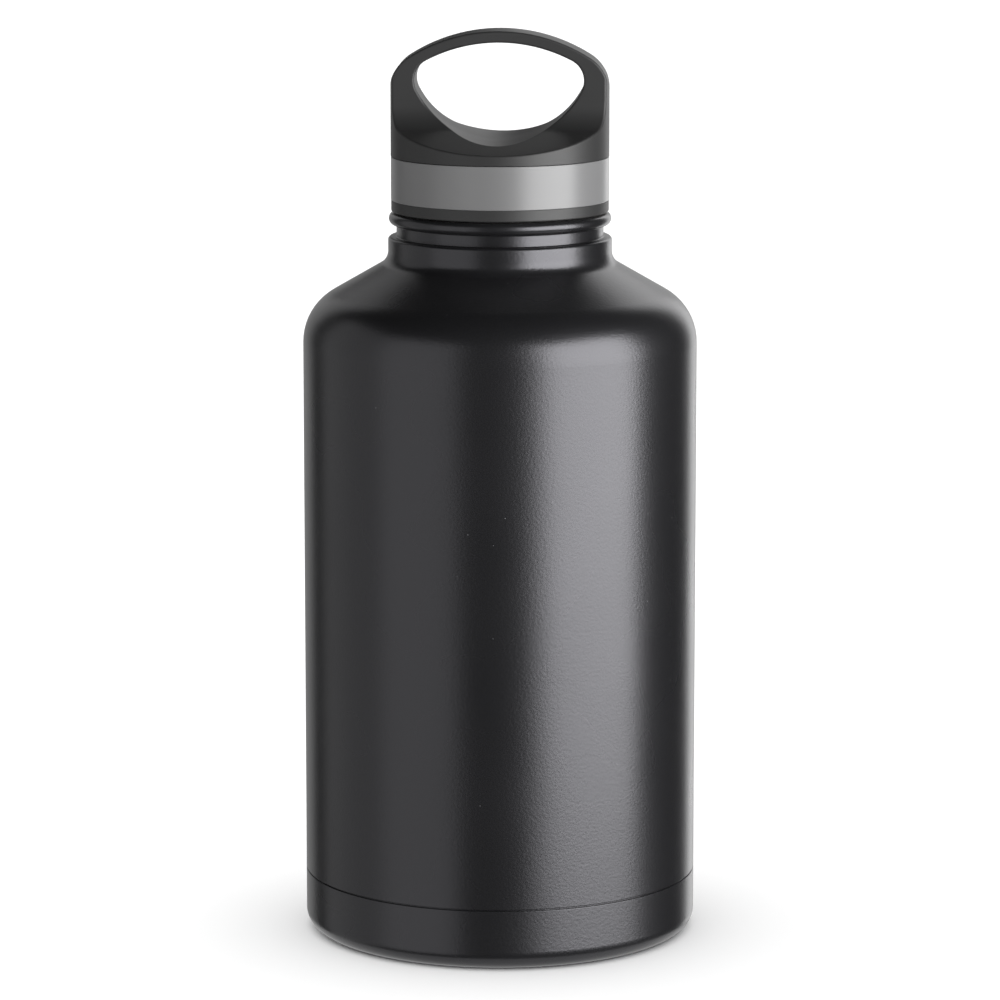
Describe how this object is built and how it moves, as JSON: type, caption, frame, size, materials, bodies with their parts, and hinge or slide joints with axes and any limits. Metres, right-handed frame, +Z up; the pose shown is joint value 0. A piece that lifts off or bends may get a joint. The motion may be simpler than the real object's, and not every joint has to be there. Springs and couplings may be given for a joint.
{
  "type": "insulated growler",
  "caption": "Double-wall vacuum-insulated steel growler with sloped shoulder, grooved neck and a screw lid that carries a fixed loop handle and a grey band.",
  "frame": {"origin": "on the vessel's axis, in the plane that the growler stands on", "axes": "+Z up along the vessel's axis; the loop handle lies in the XZ plane when the lid is screwed down; -Y is the front"},
  "size_m": [0.124, 0.124, 0.2864],
  "materials": {
    "powder_coat": "black powder coat with a fine texture",
    "steel": "brushed stainless steel",
    "braze": "braze",
    "getter": "pressed powder",
    "foil": "bright foil",
    "silicone": "matt silicone",
    "lid_plastic": "black moulded plastic, satin",
    "band_grey": "grey moulded plastic, satin",
    "foam": "closed-cell foam"
  },
  "bodies": {
    "vessel": {"outer_shell": "powder_coat", "base_cup": "powder_coat", "vacuum_bottom": "steel", "port_seal": "braze", "getter_clip": "steel", "getter_pellet": "getter", "liner_tube": "steel", "liner_bottom": "steel", "foil_wrap": "foil"},
    "seal": {"gasket": "silicone"},
    "lid": {"threaded_core": "lid_plastic", "accent_band": "band_grey", "handle_cap": "lid_plastic", "lid_insulation": "foam"}
  },
  "joints": [
    {"name": "lid_lift", "type": "slide", "parent": "vessel", "child": "seal", "axis": [0, 0, 1], "range_m": [0, 0.03]},
    {"name": "lid_turn", "type": "hinge", "parent": "seal", "child": "lid", "pos_m": [0, 0, 0.2451], "axis": [0, 0, 1], "range_deg": [0, 2160]}
  ],
  "couplings": [
    {"joint": "lid_lift", "follows": "lid_turn", "m_per_rad": 0.00079577}
  ]
}
